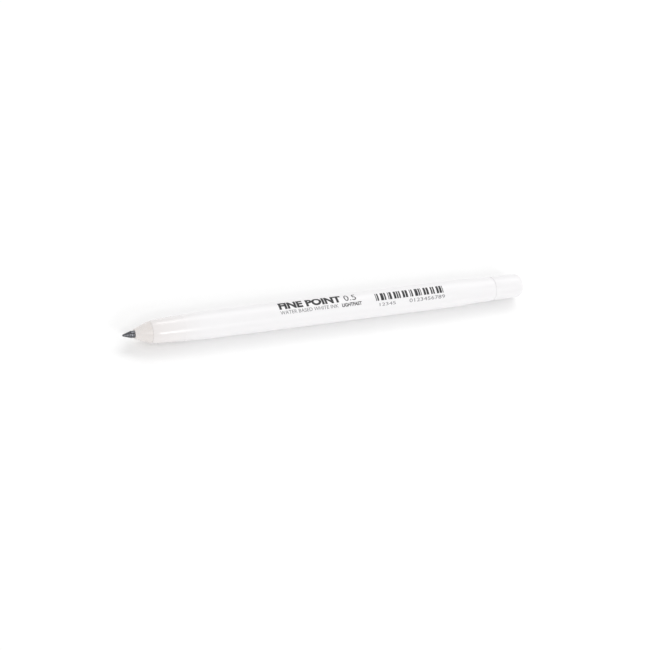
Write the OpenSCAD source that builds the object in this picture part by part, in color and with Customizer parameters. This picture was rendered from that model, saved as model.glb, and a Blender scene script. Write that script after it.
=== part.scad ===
// Gel pen without its cap, lying on its side.
//
// The pen's axis runs along X, with the writing ball at the -X end and the tail at the +X end.
// The origin is below the middle of the pen, on the surface that the barrel lies on.
// Inside the modules every piece is turned about its own Z axis, measured from the ball's
// front, and lay_down() brings it to its place.

/* [Pen] */
// Length of the pen from the front of the ball to the end of the tail
pen_length = 141; // [115:0.5:175]
// Outside diameter of the barrel's straight stretch
barrel_d = 9.0; // [7.5:0.1:11]

/* [Barrel] */
// How far the barrel narrows, in diameter, from its straight stretch to its front edge
front_drop = 2.0; // [1.2:0.1:2.2]
// Length of the front taper, behind the nose cone
front_taper = 18; // [12:0.5:26]
// Length of the rounding where the front taper starts
front_round = 3.1; // [2:0.1:4]
// Depth that the rounding takes off, in radius
front_round_depth = 0.24; // [0.1:0.02:0.4]
// How far the barrel narrows, in diameter, to its tail
tail_drop = 0.8; // [0.6:0.1:1.2]
// Length of the curved taper before the tail
tail_taper = 11.5; // [9:0.5:20]
// Length of the straight tail, where a cap is pushed on
tail_length = 3; // [2:0.5:6]
// Wall of the barrel at the tail
tail_wall = 0.75; // [0.65:0.05:0.9]
// Edge broken on the barrel's rear end
tail_chamfer = 0.15; // [0.05:0.05:0.25]

/* [Nose] */
// Length of the nose cone in front of the barrel
nose_length = 5.1; // [4:0.1:6.4]
// Diameter of the nose cone's front face
nose_front_d = 3.2; // [2.8:0.1:3.8]
// Length of the nose cone's stem inside the barrel
stem_length = 8; // [6:0.5:11]
// Length of the spigot that the ink tube is pushed on
spigot_length = 5; // [3.5:0.5:7]
// Diameter of the ink passage through the nose cone
passage_d = 1.4; // [1:0.1:1.6]

/* [Writing tip] */
// Diameter of the writing ball
ball_d = 0.5; // [0.4:0.05:0.7]
// How far the ball stands out of its socket
ball_proud = 0.15; // [0.12:0.01:0.18]
// Length of the tip in front of the nose cone
tip_length = 4.0; // [3.6:0.1:5.2]
// Diameter of the tip's collar
collar_d = 2.3; // [2:0.1:2.6]
// Length of the collar between the tip's cone and the nose cone
collar_length = 1.1; // [0.8:0.1:1.5]
// Diameter of the tip's shank inside the nose cone
shank_d = 1.9; // [1.75:0.05:1.95]
// Length of the shank
shank_length = 7; // [5.5:0.5:7.5]
// Diameter of the bore that holds the tip spring
spring_bore_d = 1.2; // [1.1:0.05:1.3]
// Diameter of the fine ink hole behind the ball
ink_hole_d = 0.28; // [0.24:0.02:0.32]
// Wire diameter of the tip spring
spring_wire = 0.13; // [0.1:0.01:0.16]
// Turns of the tip spring
spring_turns = 8; // [6:1:10]

/* [Ink] */
// Wall of the ink tube
tube_wall = 0.5; // [0.4:0.05:0.6]
// Length of the ink tube that is left empty behind the grease plug
tube_spare = 21.5; // [10:0.5:40]
// Length of the grease plug behind the ink
follower_length = 7; // [5:0.5:10]

/* [Rear plug] */
// Length of the plug's head behind the barrel
plug_length = 11.5; // [8:0.5:14]
// How much narrower the plug's head is than the barrel's tail, in diameter
plug_drop = 0.3; // [0.2:0.05:0.5]
// Narrowing of the plug's head over its length, in diameter
plug_draft = 0.1; // [0.05:0.05:0.3]
// Radius of the plug's rounded end
plug_round = 2.1; // [1.5:0.1:2.7]
// Width of the groove between the barrel and the plug's head
plug_groove = 0.9; // [0.5:0.1:1.2]
// Depth of that groove
plug_groove_depth = 0.28; // [0.1:0.02:0.34]
// Length of the plug's stem inside the barrel
plug_stem = 8; // [6:0.5:10]
// Depth of the cup in the stem, which centres the ink tube
plug_cup = 3; // [2:0.5:4]
// Diameter of the air hole through the plug
vent_d = 1.2; // [0.8:0.1:1.6]

/* [Fits] */
// Gap between the nose cone's shoulder and the barrel's front edge
seam = 0.05; // [0.03:0.01:0.1]
// Radial clearance of the nose cone's stem in the barrel
stem_fit = 0.03; // [0.02:0.01:0.06]
// Radial gap between parts that are pressed together
press_gap = 0.01; // [0.005:0.005:0.02]
// Radial clearance of the ball in its socket
ball_fit = 0.012; // [0.01:0.001:0.02]
// Radial clearance of the ink tube in the barrel's front socket
tube_gap = 0.2; // [0.15:0.05:0.3]
// Radial step from the barrel's front socket to its bore
socket_step = 0.4; // [0.3:0.05:0.5]
// Radial clearance of the ink tube in the rear plug's cup
cup_gap = 0.1; // [0.05:0.05:0.2]
// Gap between the ink tube's end and the bottom of the cup
tube_end_gap = 0.4; // [0.2:0.1:1]
// Film between the ink and the wall of the tube
ink_gap = 0.02; // [0.01:0.01:0.05]

/* [Hidden] */

$fn = 96;
over = 0.5;                // cuts run this far past the face that they open

// Places along the axis, from the front of the ball
nose_at = tip_length;                        // front face of the nose cone
shoulder_at = nose_at + nose_length;         // shoulder of the nose cone
front_at = shoulder_at + seam;               // front edge of the barrel
straight_at = front_at + front_taper;        // start of the straight barrel
rear_at = pen_length - plug_length;          // rear edge of the barrel
tail_at = rear_at - tail_length;             // start of the straight tail
drop_at = tail_at - tail_taper;              // end of the straight barrel
stem_end = shoulder_at + stem_length;        // back of the stem, where the tube starts
spigot_end = stem_end + spigot_length;
plug_at = rear_at - plug_stem;               // front of the plug's stem
tube_end = plug_at + plug_cup - tube_end_gap;
follower_end = tube_end - tube_spare;
ink_end = follower_end - follower_length;    // where the grease plug meets the ink

// Diameters that fit one another, from the barrel inwards
front_d = barrel_d - front_drop;
tail_d = barrel_d - tail_drop;
bore_d = tail_d - 2 * tail_wall;
socket_d = bore_d - 2 * socket_step;
tube_od = socket_d - 2 * tube_gap;
tube_id = tube_od - 2 * tube_wall;
plug_d = tail_d - plug_drop;

// Barrel
socket_clear = 2;          // the socket runs this far past the nose cone's stem
taper_slope = (front_drop / 2 - front_round_depth) / front_taper;
bead_at = rear_at - 5;     // snap bead of the rear plug, and the groove that it sits in
bead_w = 0.8;
bead_h = 0.1;
bead_room = 0.05;          // the groove is this much wider and deeper than the bead

// Nose cone
nose_edge = 0.15;          // radius on the edge of the front face
spigot_chamfer = 0.4;

// Writing tip
lip_wall = 0.055;          // wall of the rolled lip round the ball
ball_r = ball_d / 2;
lip_at = ball_proud;
tip_cone_end = tip_length - collar_length;
ink_hole_end = 1.3;        // the ink hole opens into the middle bore here
middle_bore_d = 0.7;
spring_bore_at = 2.6;
shank_end = nose_at + shank_length;
shank_taper = 0.24;        // lead-in on the shank's back end
crimp = 0.3;               // length of the crimped end that holds the spring
crimp_d = 0.8;
groove_w = 0.08;           // ink grooves beside the ink hole
groove_reach = 0.2;
grooves = 4;

// Tip spring
spring_play = 0.05;        // radial room round the coil
spring_r = spring_bore_d / 2 - spring_play - spring_wire / 2;
rod_front = ball_d + ball_fit + press_gap;
rod_end = spring_bore_at + spring_wire;
coil_back = shank_end - crimp - spring_wire / 2 - press_gap;
lead_rise = 0.35;          // the wire swings out from the rod to the coil over this length
lead_steps = 6;
turn_steps = 12;
wire_sides = 6;

// Rear plug and ink tube
cup_wall_chamfer = 0.3;
notch_w = 1;               // air notch in the tube's end
notch_depth = 1.2;
meniscus = 0.5;            // depth of the hollow in the back of the grease plug

// A quadratic curve from a to c, steered by b
function bow(a, b, c, n = 8) =
    [for (i = [0:n]) let (t = i / n) (1 - t) * (1 - t) * a + 2 * t * (1 - t) * b + t * t * c];

// A smooth S from radius r0 to r1, over the length from z0 to z1
function s_curve(z0, r0, z1, r1, n = 14) =
    [for (i = [0:n]) let (t = i / n) [r1 + (r0 - r1) * (1 + cos(180 * t)) / 2, z0 + (z1 - z0) * t]];

// A round corner: an arc about centre c from angle a0 to angle a1
function corner(c, r, a0, a1, n = 8) =
    [for (i = [0:n]) let (a = a0 + (a1 - a0) * i / n) c + r * [cos(a), sin(a)]];

// Lays a piece down along X, at the height where the barrel touches the surface
module lay_down() {
    translate([-pen_length / 2, 0, barrel_d / 2]) rotate([0, 90, 0]) children();
}

// A bar of diameter d from one place on the axis to another
module bar(d, from, to, d2 = undef) {
    translate([0, 0, from])
        cylinder(d1 = d, d2 = is_undef(d2) ? d : d2, h = to - from);
}

// A solid turned from an outline of [radius, place] points
module turned(outline) {
    rotate_extrude() polygon(outline);
}

// Barrel: one moulding, with a socket for the nose cone and a bore for the ink tube
module barrel() {
    taper_r = barrel_d / 2 - taper_slope * (front_taper - front_round);
    round_r = barrel_d / 2 - taper_slope * (front_taper - front_round / 2);
    socket_end = stem_end + socket_clear;
    color("white") lay_down() difference() {
        turned(concat(
            [[0, front_at]],
            bow([front_d / 2, front_at], [round_r, front_at + front_round / 2],
                [taper_r, front_at + front_round]),
            [[barrel_d / 2, straight_at]],
            s_curve(drop_at, barrel_d / 2, tail_at, tail_d / 2),
            [[tail_d / 2, rear_at - tail_chamfer], [tail_d / 2 - tail_chamfer, rear_at],
             [0, rear_at]]));
        bar(socket_d, front_at - over, socket_end + over);
        bar(socket_d, socket_end, socket_end + socket_step, bore_d);
        bar(bore_d, socket_end + socket_step, rear_at + over);
        bar(bore_d + 2 * (bead_h + bead_room), bead_at - bead_w / 2 - bead_room,
            bead_at + bead_w / 2 + bead_room);
    }
}

// Rear plug: a snap-in end with a cup that centres the ink tube, and an air hole
module rear_plug() {
    head_r = plug_d / 2;
    end_r = (plug_d - plug_draft) / 2;
    stem_r = bore_d / 2 - press_gap;
    groove_r = head_r - plug_groove_depth;
    color("white") lay_down() difference() {
        union() {
            turned(concat(
                [[0, rear_at], [groove_r, rear_at],
                 [groove_r, rear_at + plug_groove - plug_groove_depth],
                 [head_r, rear_at + plug_groove]],
                corner([end_r - plug_round, pen_length - plug_round], plug_round, 0, 90),
                [[0, pen_length]]));
            turned([[0, plug_at], [stem_r - cup_wall_chamfer, plug_at],
                    [stem_r, plug_at + cup_wall_chamfer], [stem_r, rear_at + over],
                    [0, rear_at + over]]);
            turned([[0, bead_at - bead_w / 2], [stem_r, bead_at - bead_w / 2],
                    [stem_r + bead_h, bead_at], [stem_r, bead_at + bead_w / 2],
                    [0, bead_at + bead_w / 2]]);
        }
        bar(tube_od + 2 * cup_gap, plug_at - over, plug_at + plug_cup);
        bar(vent_d, plug_at, pen_length + over);
    }
}

// Nose cone: holds the writing tip in front and the ink tube behind
module nose_cone() {
    slope = atan2((front_d - nose_front_d) / 2, nose_length);
    edge_centre = [nose_front_d / 2 - nose_edge * tan(45 - slope / 2), nose_at + nose_edge];
    stem_r = socket_d / 2 - stem_fit;
    spigot_r = tube_id / 2 - press_gap;
    color([0.93, 0.92, 0.90]) lay_down() difference() {
        union() {
            turned(concat(
                [[0, nose_at]],
                corner(edge_centre, nose_edge, -90, -slope),
                [[front_d / 2, shoulder_at], [0, shoulder_at]]));
            bar(2 * stem_r, shoulder_at - over, stem_end);
            bar(2 * spigot_r, stem_end - over, spigot_end - spigot_chamfer);
            bar(2 * spigot_r, spigot_end - spigot_chamfer, spigot_end,
                2 * (spigot_r - spigot_chamfer));
        }
        bar(shank_d + 2 * press_gap, nose_at - over, shank_end + press_gap);
        bar(passage_d, nose_at, spigot_end + over);
    }
}

// Tip body: the turned metal cone, with the ball's socket and the spring's bore
module tip_body() {
    lip_r = sqrt(pow(ball_r + ball_fit, 2) - pow(ball_r - lip_at, 2)) + lip_wall;
    shank_r = shank_d / 2;
    color("silver") lay_down() difference() {
        turned([[0, lip_at], [lip_r, lip_at], [collar_d / 2, tip_cone_end],
                [collar_d / 2, nose_at], [shank_r, nose_at],
                [shank_r, shank_end - shank_taper], [shank_r - shank_taper / 2, shank_end],
                [0, shank_end]]);
        translate([0, 0, ball_r]) sphere(r = ball_r + ball_fit);
        bar(ink_hole_d, ball_r, ink_hole_end + over);
        for (i = [0:grooves - 1])
            rotate([0, 0, 360 / grooves * i])
                translate([0, -groove_w / 2, ball_r])
                    cube([groove_reach, groove_w, ink_hole_end - ball_r + over]);
        bar(middle_bore_d, ink_hole_end, spring_bore_at + over);
        bar(spring_bore_d, spring_bore_at, shank_end - crimp);
        bar(crimp_d, spring_bore_at, shank_end + over);
    }
}

// Writing ball
module tip_ball() {
    color("dimgray") lay_down() translate([0, 0, ball_r]) sphere(r = ball_r);
}

// Wire path of the spring as [angle, radius, place]: the rod, the swing out, the coil
function spring_path() = concat(
    [[0, 0, rod_front], [0, 0, (rod_front + rod_end) / 2], [0, 0, rod_end]],
    [for (i = [1:lead_steps]) let (t = i / lead_steps)
        [180 * t, spring_r * (1 - cos(180 * t)) / 2, rod_end + lead_rise * t]],
    [for (i = [1:spring_turns * turn_steps]) let (t = i / turn_steps / spring_turns)
        [180 + 360 * spring_turns * t, spring_r,
         rod_end + lead_rise + (coil_back - rod_end - lead_rise) * t]]);

function on_path(p) = [p[1] * cos(p[0]), p[1] * sin(p[0]), p[2]];

function unit(v) = v / norm(v);

// One ring of the wire about path point i, square to the way that the wire runs
function wire_ring(path, i) =
    let (
        ahead = on_path(path[min(i + 1, len(path) - 1)]),
        behind = on_path(path[max(i - 1, 0)]),
        run = unit(ahead - behind),
        out = [cos(path[i][0]), sin(path[i][0]), 0],
        side = unit(out - (out * run) * run),
        rise = cross(run, side)
    )
    [for (k = [0:wire_sides - 1]) let (a = 360 / wire_sides * k)
        on_path(path[i]) + spring_wire / 2 * (cos(a) * side + sin(a) * rise)];

// Tip spring: a fine coil whose straight front end presses the ball against the lip
module tip_spring() {
    path = spring_path();
    rings = len(path);
    points = [for (i = [0:rings - 1]) each wire_ring(path, i)];
    walls = [for (i = [0:rings - 2], k = [0:wire_sides - 1])
        let (a = i * wire_sides + k, b = i * wire_sides + (k + 1) % wire_sides)
        each [[a, b + wire_sides, b], [a, a + wire_sides, b + wire_sides]]];
    front = [for (k = [0:wire_sides - 1]) k];
    back = [for (k = [wire_sides - 1:-1:0]) (rings - 1) * wire_sides + k];
    color("gainsboro") lay_down() polyhedron(points, concat([front], walls, [back]));
}

// Ink tube: a clear reservoir, with an air notch in its open end
module ink_tube() {
    color([0.9, 0.93, 0.95]) lay_down() difference() {
        bar(tube_od, stem_end, tube_end);
        bar(tube_id, stem_end - over, tube_end + over);
        translate([-notch_w / 2, -tube_od, tube_end - notch_depth])
            cube([notch_w, 2 * tube_od, notch_depth + over]);
    }
}

// Gel ink: the column in the tube, with the thread of ink through the nose cone
module gel_ink() {
    color("whitesmoke") lay_down() {
        bar(passage_d - 2 * ink_gap, shank_end + press_gap + ink_gap, spigot_end + over);
        bar(tube_id - 2 * ink_gap, spigot_end + ink_gap, ink_end - ink_gap);
    }
}

// Follower: the clear grease plug that closes the ink and follows it down the tube
module ink_follower() {
    follower_r = tube_id / 2 - ink_gap;
    hollow_r = (follower_r * follower_r + meniscus * meniscus) / (2 * meniscus);
    color([0.95, 0.93, 0.85]) lay_down() difference() {
        bar(2 * follower_r, ink_end, follower_end);
        translate([0, 0, follower_end - meniscus + hollow_r]) sphere(r = hollow_r);
    }
}

barrel();
rear_plug();
nose_cone();
tip_body();
tip_ball();
tip_spring();
ink_tube();
gel_ink();
ink_follower();
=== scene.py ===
import math

import bmesh
import bpy
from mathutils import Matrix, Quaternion, Vector


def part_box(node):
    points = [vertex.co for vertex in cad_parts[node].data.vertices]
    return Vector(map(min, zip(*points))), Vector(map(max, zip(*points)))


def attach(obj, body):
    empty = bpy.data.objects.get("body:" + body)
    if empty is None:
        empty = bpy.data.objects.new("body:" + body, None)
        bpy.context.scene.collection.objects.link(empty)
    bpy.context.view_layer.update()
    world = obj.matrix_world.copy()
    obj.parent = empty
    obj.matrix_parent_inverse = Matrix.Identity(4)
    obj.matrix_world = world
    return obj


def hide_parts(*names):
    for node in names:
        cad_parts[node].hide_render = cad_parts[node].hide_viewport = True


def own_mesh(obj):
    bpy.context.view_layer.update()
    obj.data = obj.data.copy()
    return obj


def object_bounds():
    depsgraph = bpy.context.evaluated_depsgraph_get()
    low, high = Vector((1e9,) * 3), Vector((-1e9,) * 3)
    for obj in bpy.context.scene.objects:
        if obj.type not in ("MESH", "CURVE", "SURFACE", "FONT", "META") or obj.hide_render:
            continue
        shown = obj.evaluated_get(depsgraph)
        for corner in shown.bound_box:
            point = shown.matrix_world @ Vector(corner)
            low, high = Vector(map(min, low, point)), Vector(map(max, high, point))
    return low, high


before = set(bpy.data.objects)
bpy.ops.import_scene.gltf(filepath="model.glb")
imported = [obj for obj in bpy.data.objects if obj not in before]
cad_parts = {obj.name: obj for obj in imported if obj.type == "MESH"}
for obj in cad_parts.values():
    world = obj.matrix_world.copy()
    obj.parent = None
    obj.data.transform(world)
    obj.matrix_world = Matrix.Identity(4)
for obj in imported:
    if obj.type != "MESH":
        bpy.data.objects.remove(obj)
cad_low, cad_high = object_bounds()

# The pen lies along X, its ball at -X. Sizes below are in metres, most written as so many MM.
MM = 0.001
TURN_STEPS = 144          # faces round the barrel, the plug and the nose cone
FINE_STEPS = 96           # and round the smaller turned pieces
SHARP = math.radians(32)  # edges that bend more than this are drawn sharp
EPS = 1e-7                # points closer than this are one point

AXIS_Z = 4.5 * MM
FILM = 0.01 * MM          # how far the print stands above the barrel, and reaches into it


# ---------------------------------------------------------------- places taken from the frame

def span(node):
    """First and last place of a CAD node along the pen, and its largest radius."""
    low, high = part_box(node)
    return low.x, high.x, (high.y - low.y) / 2


barrel_front, barrel_rear, _ = span("barrel")
nose_front, spigot_end, shoulder_r = span("nose_cone")
lip_front, shank_end, collar_r = span("tip_body")
ball_front, ball_back, _ = span("tip_ball")
ball_r = (ball_back - ball_front) / 2
plug_front, pen_end, plug_r = span("rear_plug")
tube_front, tube_end, tube_r = span("ink_tube")
ink_front, ink_end, ink_r = span("gel_ink")
follower_front, follower_end, follower_r = span("ink_follower")

# Barrel. It is drawn a hair inside the frame's box, so that the print on it stays inside too.
barrel_r = cad_high.z - AXIS_Z - FILM
SEAM = 0.05 * MM                    # open seam between the nose cone and the barrel
FRONT_TAPER = 18 * MM
FRONT_ROUND = 3.1 * MM
FRONT_ROUND_DEPTH = 0.24 * MM
TAIL_LENGTH = 3 * MM
TAIL_TAPER = 11.5 * MM
TAIL_DROP = 0.8 * MM                # in diameter, as the next one
FRONT_DROP = 2.0 * MM
TAIL_WALL = 0.75 * MM
SOCKET_STEP = 0.4 * MM
STEM_FIT = 0.03 * MM
PRESS_FIT = 0.01 * MM               # clearance between pieces that are pressed together
TUBE_WALL = 0.5 * MM
SHANK_R = 0.95 * MM                 # of the metal tip, inside the nose cone
SOCKET_CLEAR = 2 * MM               # the socket runs this far past the stem
EDGE = 0.12 * MM                    # radius on the barrel's edges
SEAM_EDGE = 0.07 * MM               # and on the nose cone's edge at the seam

tail_r = barrel_r - TAIL_DROP / 2
bore_r = tail_r - TAIL_WALL
socket_r = bore_r - SOCKET_STEP
shoulder = barrel_front - SEAM
stem_end = tube_front


# ---------------------------------------------------------------- outlines and turned pieces

def bow(a, b, c, steps=10):
    """A quadratic curve from a to c, steered by b."""
    a, b, c = Vector(a), Vector(b), Vector(c)
    ts = [i / steps for i in range(steps + 1)]
    return [(1 - t) ** 2 * a + 2 * t * (1 - t) * b + t * t * c for t in ts]


def s_curve(start, end, steps=24):
    """A smooth S from one (place, radius) to another."""
    ts = [i / steps for i in range(steps + 1)]
    (x0, r0), (x1, r1) = start, end
    return [Vector((x0 + (x1 - x0) * t, r1 + (r0 - r1) * (1 + math.cos(math.pi * t)) / 2))
            for t in ts]


def arc(centre, radius, from_deg, to_deg, steps=10):
    """A round corner about centre, angles counted from +X towards larger radii."""
    x, r = centre
    angles = [math.radians(from_deg + (to_deg - from_deg) * i / steps) for i in range(steps + 1)]
    return [Vector((x + radius * math.cos(a), r + radius * math.sin(a))) for a in angles]


def new_object(name, data):
    """An object of this data, put in the scene."""
    made = bpy.data.objects.new(name, data)
    bpy.context.scene.collection.objects.link(made)
    return made


def finished(name, bm, body, slot, *replaced):
    """Makes the mesh an object that rides on its body, smooth but for its sharp edges."""
    bmesh.ops.remove_doubles(bm, verts=bm.verts, dist=EPS)
    bmesh.ops.recalc_face_normals(bm, faces=bm.faces)
    mesh = bpy.data.meshes.new(name)
    bm.to_mesh(mesh)
    bm.free()
    mesh.shade_smooth()
    mesh.set_sharp_from_angle(angle=SHARP)
    piece = new_object(name, mesh)
    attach(piece, body)
    if replaced:
        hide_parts(*replaced)
    return piece


def turned(outline, closed, steps=TURN_STEPS):
    """A bmesh of an outline of (place, radius) turned about the pen's axis."""
    bm = bmesh.new()
    verts = [bm.verts.new((p[0], 0, AXIS_Z + p[1])) for p in outline]
    pairs = list(zip(verts, verts[1:])) + ([(verts[-1], verts[0])] if closed else [])
    edges = [bm.edges.new(pair) for pair in pairs]
    bmesh.ops.spin(bm, geom=verts + edges, cent=(0, 0, AXIS_Z), axis=(1, 0, 0), dvec=(0, 0, 0),
                   angle=math.tau, steps=steps, use_merge=True, use_normal_flip=False,
                   use_duplicate=False)
    return bm


# ---------------------------------------------------------------- the camera

CAMERA_AZIMUTH = -38.34             # degrees, as the next two; 0 is square-on to the pen
CAMERA_ELEVATION = 50
CAMERA_ROLL = 23.8
CAMERA_DISTANCE = 761 * MM
CAMERA_LENS = 130.3
CAMERA_CLIP = (0.05, 20)
CAMERA_TARGET = Vector((-0.9 * MM, -2.86 * MM, 0))


def toward(azimuth, elevation):
    """Unit vector from the pen towards a place at that azimuth and elevation, in degrees."""
    a, e = math.radians(azimuth), math.radians(elevation)
    return Vector((math.sin(a) * math.cos(e), -math.cos(a) * math.cos(e), math.sin(e)))


def make_camera():
    back = toward(CAMERA_AZIMUTH, CAMERA_ELEVATION)
    camera = new_object("camera", bpy.data.cameras.new("camera"))
    camera.data.lens = CAMERA_LENS
    camera.location = CAMERA_TARGET + back * CAMERA_DISTANCE
    camera.rotation_mode = "QUATERNION"
    roll = Quaternion((0, 0, 1), math.radians(CAMERA_ROLL))
    camera.rotation_quaternion = (-back).to_track_quat("-Z", "Y") @ roll
    camera.data.clip_start, camera.data.clip_end = CAMERA_CLIP
    bpy.context.scene.camera = camera


make_camera()


# ---------------------------------------------------------------- material tools

def srgb(code):
    """Linear colour of an sRGB hex value."""
    parts = [int(code[i:i + 2], 16) / 255 for i in (1, 3, 5)]
    return [c / 12.92 if c <= 0.04045 else ((c + 0.055) / 1.055) ** 2.4 for c in parts] + [1]


def add(tree, kind, inputs=(), **settings):
    """Adds a node with its settings, and sets or links its inputs."""
    made = tree.nodes.new(kind)
    for name, value in settings.items():
        setattr(made, name, value)
    for name, value in dict(inputs).items():
        if isinstance(value, bpy.types.NodeSocket):
            tree.links.new(value, made.inputs[name])
        else:
            made.inputs[name].default_value = value
    return made


def new_material(name):
    made = bpy.data.materials.new(name)
    made.use_nodes = True
    made.node_tree.nodes.clear()
    return made, made.node_tree


def object_coords(tree, stretch=(1, 1, 1)):
    """Object coordinates, with what is drawn on them stretched so much along each axis."""
    place = add(tree, "ShaderNodeTexCoord").outputs["Object"]
    scale = [1 / s for s in stretch]
    return add(tree, "ShaderNodeMapping", {"Vector": place, "Scale": scale}).outputs[0]


def noise(tree, vector, size, detail=3.0):
    """Noise whose features are about size metres across."""
    inputs = {"Vector": vector, "Scale": 1 / size, "Detail": detail}
    return add(tree, "ShaderNodeTexNoise", inputs).outputs[0]


def ramp(tree, value, low, high, start=0.0, end=1.0):
    """Maps value from start-end to low-high."""
    return add(tree, "ShaderNodeMapRange", {"Value": value, "From Min": start, "From Max": end,
                                            "To Min": low, "To Max": high}).outputs[0]


def blend_colours(tree, factor, first, second):
    """A colour that goes from first to second. Each may be a value or a socket."""
    mix = add(tree, "ShaderNodeMix", {"Factor": factor}, data_type="RGBA")
    # By number, since the mix node's colour and number inputs share their names.
    for socket, value in zip((mix.inputs[6], mix.inputs[7]), (first, second)):
        if isinstance(value, bpy.types.NodeSocket):
            tree.links.new(value, socket)
        else:
            socket.default_value = value
    return mix.outputs[2]


def bump(tree, height, depth):
    """Bump that is depth metres deep where height goes from 0 to 1."""
    inputs = {"Height": height, "Strength": 1.0, "Distance": depth}
    return add(tree, "ShaderNodeBump", inputs).outputs[0]


def shade(tree, **inputs):
    """The surface shader, with its inputs named as in the shader but with _ for spaces."""
    spaced = {name.replace("_", " "): value for name, value in inputs.items()}
    shader = add(tree, "ShaderNodeBsdfPrincipled", spaced)
    add(tree, "ShaderNodeOutputMaterial", {"Surface": shader.outputs[0]})


def wear(piece, material):
    piece.data.materials.clear()
    piece.data.materials.append(material)


# ---------------------------------------------------------------- materials

POLYPROPYLENE_IOR = 1.49


def milky_polypropylene():
    """Injection moulded polypropylene, milky white: a satin skin over a body that light soaks into.
    The front, where the wall is thick and nothing white lies behind it, is wetter, and is painted greyer as
    painted shade."""
    made, tree = new_material("milky_polypropylene_moulded")
    flow = noise(tree, object_coords(tree, stretch=(9 * MM, 1.2 * MM, 1.2 * MM)), 1.0)
    skin = noise(tree, object_coords(tree), 0.35 * MM, 4)
    along = add(tree, "ShaderNodeSeparateXYZ", {"Vector": object_coords(tree)}).outputs["X"]
    # body is 0 at the front and 1 behind it. It makes the front glossier, and it also carries the front's
    # painted shade.
    body = ramp(tree, along, 0, 1, barrel_front + 2 * MM, barrel_front + 17 * MM)
    terms = {0: ramp(tree, skin, 0.0, 0.06), 1: ramp(tree, body, 0.08, 0.36)}
    rough = add(tree, "ShaderNodeMath", terms, operation="ADD").outputs[0]
    streaks = blend_colours(tree, flow, srgb("#edeced"), srgb("#f1f0f1"))
    # The greyer front colour is painted shade: it stands for less light coming back through the thick wall.
    colour = blend_colours(tree, body, srgb("#e9e5e4"), streaks)
    shade(tree, Base_Color=colour, Roughness=rough, IOR=POLYPROPYLENE_IOR,
          Subsurface_Weight=0.2, Subsurface_Radius=(1, 1, 1), Subsurface_Scale=0.2 * MM,
          Normal=bump(tree, skin, 0.0015 * MM))
    return made


def natural_polypropylene():
    """Injection moulded natural polypropylene: cloudy, slightly warm, and clear enough to look grey."""
    made, tree = new_material("natural_polypropylene_moulded")
    cloud = noise(tree, object_coords(tree), 1.6 * MM, 3)
    skin = noise(tree, object_coords(tree), 0.25 * MM, 4)
    colour = blend_colours(tree, cloud, srgb("#e1dcd9"), srgb("#e8e3e0"))
    shade(tree, Base_Color=colour, Roughness=ramp(tree, skin, 0.22, 0.34), IOR=POLYPROPYLENE_IOR,
          Subsurface_Weight=0.4, Subsurface_Radius=(1, 0.96, 0.92), Subsurface_Scale=0.5 * MM,
          Normal=bump(tree, skin, 0.001 * MM))
    return made


def turned_steel():
    """Turned stainless steel: the tool leaves fine rings, which stretch reflections round the cone."""
    made, tree = new_material("stainless_steel_turned")
    place = object_coords(tree)
    # Real tool marks are about 0.02 mm apart. They are drawn wider so that they show.
    ring_gap = 0.12 * MM
    rings = add(tree, "ShaderNodeTexWave", {"Vector": place, "Scale": 1 / (20 * ring_gap),
                                            "Distortion": 0.6, "Detail": 2, "Detail Scale": 3},
                bands_direction="X").outputs[0]
    smear = noise(tree, object_coords(tree, stretch=(1, 3, 3)), 0.2 * MM, 4)
    # Both tones are painted far darker than bare steel, as painted reflection of dark surroundings. The
    # change between the two tones is the tool rings.
    colour = blend_colours(tree, rings, srgb("#5a5b5e"), srgb("#737478"))
    shade(tree, Base_Color=colour, Metallic=1.0, Roughness=ramp(tree, smear, 0.12, 0.24),
          Normal=bump(tree, rings, 0.002 * MM))
    return made


def lapped_carbide():
    """Lapped tungsten carbide: a dark, very smooth grey metal with a trace of grinding grain."""
    made, tree = new_material("tungsten_carbide_lapped")
    grain = noise(tree, object_coords(tree), 0.02 * MM, 5)
    colour = blend_colours(tree, grain, srgb("#6c6d70"), srgb("#7f8083"))
    shade(tree, Base_Color=colour, Metallic=1.0, Roughness=ramp(tree, grain, 0.08, 0.18))
    return made


def drawn_wire():
    """Drawn stainless wire: bright, with die lines along the wire."""
    made, tree = new_material("stainless_wire_drawn")
    lines = noise(tree, object_coords(tree, stretch=(1, 6, 6)), 0.02 * MM, 4)
    colour = blend_colours(tree, lines, srgb("#b4b4b4"), srgb("#d0d0d0"))
    shade(tree, Base_Color=colour, Metallic=1.0, Roughness=ramp(tree, lines, 0.18, 0.32),
          Normal=bump(tree, lines, 0.001 * MM))
    return made


def clear_tube():
    """Extruded clear polypropylene: thin enough to see straight through, with a faint white haze and
    fine die lines along the tube. Lamps have to reach the ink in it, so it is clear by its alpha."""
    made, tree = new_material("clear_polypropylene_extruded")
    lines = noise(tree, object_coords(tree, stretch=(60 * MM, 0.5 * MM, 0.5 * MM)), 1.0, 3)
    colour = blend_colours(tree, lines, srgb("#e9eef0"), srgb("#f4f7f8"))
    shade(tree, Base_Color=colour, Roughness=ramp(tree, lines, 0.06, 0.14),
          IOR=POLYPROPYLENE_IOR, Alpha=0.22, Normal=bump(tree, lines, 0.001 * MM))
    return made


def white_gel():
    """Pigmented gel ink: opaque bright white, wet, with a little unevenness in the pigment."""
    made, tree = new_material("gel_ink_wet")
    pigment = noise(tree, object_coords(tree), 0.8 * MM, 4)
    colour = blend_colours(tree, pigment, srgb("#f3f3f0"), srgb("#fafaf8"))
    shade(tree, Base_Color=colour, Roughness=ramp(tree, pigment, 0.12, 0.22), IOR=1.36,
          Subsurface_Weight=0.2, Subsurface_Radius=(1, 1, 1), Subsurface_Scale=0.3 * MM)
    return made


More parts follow.
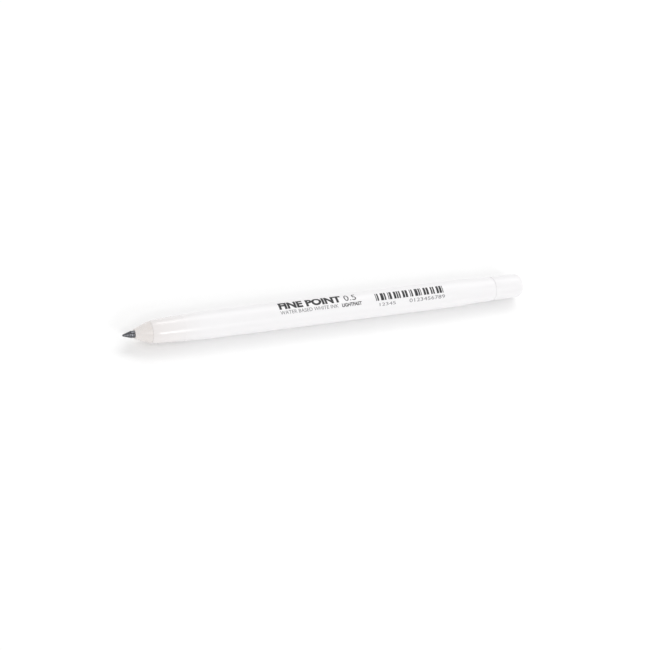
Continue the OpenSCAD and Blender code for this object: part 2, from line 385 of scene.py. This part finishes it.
def clear_grease():
    """Silicone grease: clear, faintly straw-coloured, with small clouds of trapped air."""
    made, tree = new_material("silicone_grease_clear")
    clouds = noise(tree, object_coords(tree), 0.6 * MM, 5)
    colour = blend_colours(tree, clouds, srgb("#efe8cc"), srgb("#f8f4e2"))
    shade(tree, Base_Color=colour, Roughness=ramp(tree, clouds, 0.08, 0.2), IOR=1.42, Alpha=0.55)
    return made


def screen_ink(name, dark, light, roughness):
    """Screen printing ink, dried: nearly flat, a little uneven where the mesh left it thin."""
    made, tree = new_material(name)
    mesh_marks = noise(tree, object_coords(tree), 0.12 * MM, 4)
    colour = blend_colours(tree, mesh_marks, srgb(dark), srgb(light))
    shade(tree, Base_Color=colour, Roughness=ramp(tree, mesh_marks, roughness, roughness + 0.15),
          Normal=bump(tree, mesh_marks, 0.001 * MM))
    return made


# ---------------------------------------------------------------- pieces of the barrel body

def make_barrel():
    slope = (FRONT_DROP / 2 - FRONT_ROUND_DEPTH) / FRONT_TAPER
    front_r = barrel_r - FRONT_DROP / 2
    straight = barrel_front + FRONT_TAPER
    blend = 3 * MM                      # either side of where the taper meets the straight part
    tail = barrel_rear - TAIL_LENGTH
    socket_end = stem_end + SOCKET_CLEAR

    def on_taper(at):
        """The place and radius of the straight taper so far behind the barrel's front."""
        return barrel_front + at, barrel_r - slope * (FRONT_TAPER - at)

    outer = [Vector((barrel_front, front_r - SEAM_EDGE))]
    outer += bow((barrel_front + SEAM_EDGE / 2, front_r), on_taper(FRONT_ROUND / 2),
                 on_taper(FRONT_ROUND), 16)
    outer += bow(on_taper(FRONT_TAPER - blend), (straight, barrel_r),
                 (straight + blend, barrel_r), 10)
    outer += s_curve((tail - TAIL_TAPER, barrel_r), (tail, tail_r), 32)
    outer += arc((barrel_rear - EDGE, tail_r - EDGE), EDGE, 90, 0, 5)
    inner = [Vector(p) for p in (
        (barrel_rear, bore_r), (socket_end + SOCKET_STEP, bore_r), (socket_end, socket_r),
        (barrel_front + EDGE, socket_r), (barrel_front, socket_r + EDGE))]
    return finished("barrel_shell", turned(outer + inner, True), "barrel", "barrel_plastic", "barrel")


def make_rear_plug():
    head = barrel_rear
    groove_w, groove_depth, draft, end_round = 0.9 * MM, 0.28 * MM, 0.05 * MM, 2.1 * MM
    stem_r, vent_r = bore_r - PRESS_FIT, 0.6 * MM
    cup_r, cup_depth = tube_r + 0.1 * MM, 3 * MM
    bead, bead_w, bead_h = barrel_rear - 5 * MM, 0.4 * MM, 0.1 * MM
    lead = 0.3 * MM
    outline = [Vector(p) for p in (
        (plug_front, cup_r), (plug_front, stem_r - lead), (plug_front + lead, stem_r),
        (bead - bead_w, stem_r), (bead, stem_r + bead_h), (bead + bead_w, stem_r),
        (head, stem_r), (head, plug_r - groove_depth))]
    outline += bow((head + groove_w - groove_depth, plug_r - groove_depth),
                   (head + groove_w - groove_depth / 2, plug_r - groove_depth),
                   (head + groove_w - EDGE, plug_r - EDGE / 2), 5)
    outline += [Vector((head + groove_w + EDGE, plug_r))]
    # The round starts 2 degrees late, where the side's slight draft meets it.
    outline += arc((pen_end - end_round, plug_r - draft - end_round), end_round, 88, 0, 18)
    outline += arc((pen_end - EDGE, vent_r + EDGE), EDGE, 0, -90, 4)
    outline += [Vector(p) for p in ((plug_front + cup_depth, vent_r), (plug_front + cup_depth, cup_r))]
    return finished("tail_plug", turned(outline, True), "barrel", "barrel_plastic", "rear_plug")


# ---------------------------------------------------------------- pieces of the refill body

def make_nose_cone():
    edge = 0.2 * MM
    face_r = 1.6 * MM
    slope = math.degrees(math.atan2(shoulder_r - face_r, shoulder - nose_front))
    stem_r, spigot_r = socket_r - STEM_FIT, tube_r - TUBE_WALL - PRESS_FIT
    shank_hole, passage, chamfer = SHANK_R + PRESS_FIT, 0.7 * MM, 0.4 * MM
    centre = (nose_front + edge, face_r - edge * math.tan(math.radians(45 - slope / 2)))
    outline = [Vector((nose_front, shank_hole))]
    outline += arc(centre, edge, 180, 90 + slope, 8)
    # Set a little low, so that the slope runs into the round and stays inside the shoulder.
    outline += arc((shoulder - SEAM_EDGE, shoulder_r - SEAM_EDGE * 1.15), SEAM_EDGE,
                   90 + slope, 0, 6)
    outline += [Vector(p) for p in (
        (shoulder, stem_r), (stem_end, stem_r), (stem_end, spigot_r), (spigot_end - chamfer, spigot_r),
        (spigot_end, spigot_r - chamfer), (spigot_end, passage), (shank_end + PRESS_FIT, passage),
        (shank_end + PRESS_FIT, shank_hole))]
    return finished("nose", turned(outline, True), "refill", "nose_plastic", "nose_cone")


def make_tip():
    collar_at = nose_front - 1.1 * MM
    clearance, lip_wall = 0.012 * MM, 0.055 * MM
    seat = ball_r + clearance
    centre = ball_front + ball_r
    mouth = math.degrees(math.acos((centre - lip_front) / seat))
    lip_r = seat * math.sin(math.radians(mouth)) + lip_wall
    edge = 0.05 * MM
    hole_r, hole_end = 0.14 * MM, 1.3 * MM
    middle_r, spring_at, spring_bore = 0.35 * MM, 2.6 * MM, 0.6 * MM
    crimp, crimp_r, taper = 0.3 * MM, 0.4 * MM, 0.24 * MM
    throat = 180 - math.degrees(math.asin(hole_r / seat))
    outline = [Vector((lip_front, seat * math.sin(math.radians(mouth))))]
    outline += bow((lip_front, lip_r - edge / 2), (lip_front, lip_r),
                   (lip_front + edge, lip_r + edge / 4), 4)
    outline += arc((collar_at - edge, collar_r - edge * 1.05), edge, 105, 90, 3)
    outline += arc((nose_front - edge, collar_r - edge), edge, 90, 0, 4)
    outline += [Vector(p) for p in (
        (nose_front, SHANK_R), (shank_end - taper, SHANK_R), (shank_end, SHANK_R - taper / 2),
        (shank_end, crimp_r), (shank_end - crimp, crimp_r), (shank_end - crimp, spring_bore),
        (ball_front + spring_at, spring_bore), (ball_front + spring_at, middle_r),
        (ball_front + hole_end, middle_r), (ball_front + hole_end, hole_r))]
    outline += [Vector((centre - seat * math.cos(math.radians(a)), seat * math.sin(math.radians(a))))
                for a in (throat + (mouth - throat) * i / 14 for i in range(14))]
    return finished("tip_cone", turned(outline, True, FINE_STEPS), "refill", "tip_metal", "tip_body")


def make_ball():
    bm = bmesh.new()
    bmesh.ops.create_uvsphere(bm, u_segments=48, v_segments=32, radius=ball_r)
    bmesh.ops.translate(bm, verts=bm.verts, vec=(ball_front + ball_r, 0, AXIS_Z))
    return finished("writing_ball", bm, "ball", "ball_carbide", "tip_ball")


def make_tube():
    edge = 0.05 * MM
    inner = tube_r - TUBE_WALL
    outline = [Vector(p) for p in (
        (tube_front, inner), (tube_front, tube_r - edge), (tube_front + edge, tube_r),
        (tube_end - edge, tube_r), (tube_end, tube_r - edge), (tube_end, inner))]
    return finished("ink_reservoir", turned(outline, True, FINE_STEPS), "refill", "tube_plastic", "ink_tube")


def make_ink():
    thread_r, gap, travel = 0.68 * MM, 0.02 * MM, 72 * MM
    start = spigot_end + gap
    outline = [Vector(p) for p in ((ink_front, 0), (ink_front, thread_r), (start, thread_r),
                                   (start, ink_r), (ink_end, ink_r), (ink_end, 0))]
    ink = finished("ink_column", turned(outline, False, FINE_STEPS), "refill", "gel_ink", "gel_ink")
    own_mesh(ink)
    return ink


def make_follower():
    hollow = 0.5 * MM
    outline = [Vector((follower_front, 0)), Vector((follower_front, follower_r))]
    outline += bow((follower_end, follower_r), (follower_end - hollow, follower_r * 0.6),
                   (follower_end - hollow, 0), 10)
    return finished("grease_follower", turned(outline, False, FINE_STEPS),
                    "follower", "follower_grease", "ink_follower")


# ---------------------------------------------------------------- print on the barrel

READER = toward(CAMERA_AZIMUTH, CAMERA_ELEVATION)
# Degrees round the barrel to the line that faces the reader.
PRINT_FACING = math.degrees(math.atan2(READER.z, -READER.y))
STRIP = 0.15 * MM         # the print is cut into strips this wide, so that it follows the barrel


def wrapped(name, bm, x, foot, material):
    """Wraps a flat print, x along the pen and y round it, on the barrel, with its foot at an angle."""
    heights = [v.co.y for v in bm.verts]
    cut = math.floor(min(heights) / STRIP) * STRIP
    while cut < max(heights):
        bmesh.ops.bisect_plane(bm, geom=bm.verts[:] + bm.edges[:] + bm.faces[:], dist=EPS / 100,
                               plane_co=(0, cut, 0), plane_no=(0, 1, 0))
        cut += STRIP
    for v in bm.verts:
        angle = math.radians(PRINT_FACING + foot) + v.co.y / barrel_r
        r = barrel_r + (FILM if v.co.z > 0 else -FILM)
        v.co = (x + v.co.x, -r * math.cos(angle), AXIS_Z + r * math.sin(angle))
    piece = finished(name, bm, "barrel", "barrel_plastic")
    wear(piece, material)
    return piece


def lettering(name, text, x, width, foot, height, boldness, material):
    """A line of plain letters of a given width and height, printed along the pen."""
    curve = bpy.data.curves.new(name + "_text", "FONT")
    curve.body, curve.size, curve.extrude, curve.offset = text, 1, 0.01, boldness
    curve.resolution_u = 3
    carrier = new_object(name + "_text", curve)
    bpy.context.view_layer.update()
    flat = carrier.to_mesh()
    bm = bmesh.new()
    bm.from_mesh(flat)
    carrier.to_mesh_clear()
    bpy.data.objects.remove(carrier)
    bpy.data.curves.remove(curve)
    bmesh.ops.remove_doubles(bm, verts=bm.verts, dist=1e-5)
    xs, ys = [v.co.x for v in bm.verts], [v.co.y for v in bm.verts]
    scale = (width / (max(xs) - min(xs)), height / max(ys), 1)
    bmesh.ops.translate(bm, verts=bm.verts, vec=(-min(xs), 0, 0))
    bmesh.ops.scale(bm, verts=bm.verts, vec=scale)
    return wrapped(name, bm, x, foot, material)


def bars(name, x, width, foot, height, material):
    """A row of bars whose widths follow a plain rule and stand for no code."""
    module = width / 95                 # the thinnest bar
    bm = bmesh.new()
    at, i = 0.0, 0
    while at < width - module:
        thick = module * (1 + (2 * i * i + 3 * i) % 11 % 4)
        gap = module * (1 + (i * i + i) % 7 % 3)
        made = bmesh.ops.create_cube(bm, size=1)["verts"]
        bmesh.ops.scale(bm, verts=made, vec=(min(thick, width - at), height, 1))
        bmesh.ops.translate(bm, verts=made, vec=(at + min(thick, width - at) / 2, height / 2, 0))
        at += thick + gap
        i += 1
    return wrapped(name, bm, x, foot, material)


# ---------------------------------------------------------------- the pen

plastic = milky_polypropylene()
wear(make_barrel(), plastic)
wear(make_rear_plug(), plastic)
wear(make_nose_cone(), natural_polypropylene())
wear(make_tip(), turned_steel())
wear(make_ball(), lapped_carbide())
wear(make_tube(), clear_tube())
wear(make_follower(), clear_grease())
wear(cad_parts["tip_spring"], drawn_wire())
wear(make_ink(), white_gel())

black = screen_ink("screen_ink_black", "#1c1c1e", "#2c2c30", 0.45)
grey = screen_ink("screen_ink_grey", "#6a6a6e", "#7c7c80", 0.45)


def from_ball(mm):
    """The place along the pen so many millimetres behind the front of the ball."""
    return ball_front + mm * MM


lettering("print_words", "FINE POINT", from_ball(52), 21.8 * MM, 25.5, 2.6 * MM, 0.05, black)
lettering("print_size", "0.5", from_ball(74.9), 4.2 * MM, 26, 2.3 * MM, 0.0, black)
lettering("print_line", "WATER BASED WHITE INK", from_ball(52), 20.3 * MM, 2, 1.15 * MM, 0.0, grey)
lettering("print_line_end", "LIGHTFAST", from_ball(73.6), 7 * MM, 2, 1.15 * MM, 0.03, black)
bars("print_bars", from_ball(85.8), 25 * MM, 9, 2.6 * MM, black)
lettering("print_digits", "0123456789", from_ball(97.6), 13 * MM, -14, 1.15 * MM, 0.0, grey)
lettering("print_digits_short", "12345", from_ball(86.8), 5.8 * MM, -14, 1.0 * MM, 0.0, grey)


# ---------------------------------------------------------------- floor, light and backdrop

FLOOR_SIZE = 4
WORLD_STRENGTH = 0.755


def make_floor():
    bm = bmesh.new()
    bmesh.ops.create_grid(bm, x_segments=1, y_segments=1, size=FLOOR_SIZE)
    mesh = bpy.data.meshes.new("floor")
    bm.to_mesh(mesh)
    bm.free()
    floor = new_object("floor", mesh)
    made, tree = new_material("white_paper_sheet")
    fibres = noise(tree, object_coords(tree), 1.5 * MM, 4)
    colour = blend_colours(tree, fibres, srgb("#fbfbfb"), srgb("#fdfdfd"))
    shade(tree, Base_Color=colour, Roughness=0.9)
    wear(floor, made)


def softbox(name, azimuth, elevation, distance, size, power):
    """A lamp of this size in metres and power in watts, aimed at the middle of the pen."""
    light = new_object(name, bpy.data.lights.new(name, "AREA"))
    light.data.shape, light.data.size, light.data.size_y = "RECTANGLE", size[0], size[1]
    light.data.energy = power
    out = toward(azimuth, elevation)
    light.location = Vector((0, 0, AXIS_Z)) + out * distance
    light.rotation_mode = "QUATERNION"
    light.rotation_quaternion = (-out).to_track_quat("-Z", "Y")


make_floor()
LAMP_DISTANCE = 1.2
softbox("strip", 15, 29.2, LAMP_DISTANCE, (0.3, 0.3), 2.1)      # the streak on the front taper
softbox("tip", -19, 42, LAMP_DISTANCE, (0.3, 0.12), 1.3)        # the line on the metal tip
softbox("back", 141, 50, LAMP_DISTANCE, (1.0, 0.5), 4.1)        # the shadow on the near side

world = bpy.data.worlds.new("studio")
bpy.context.scene.world = world
world.use_nodes = True
backdrop = world.node_tree.nodes["Background"]
backdrop.inputs["Color"].default_value = (1, 1, 1, 1)
backdrop.inputs["Strength"].default_value = WORLD_STRENGTH
bpy.context.scene.view_settings.view_transform = "Standard"
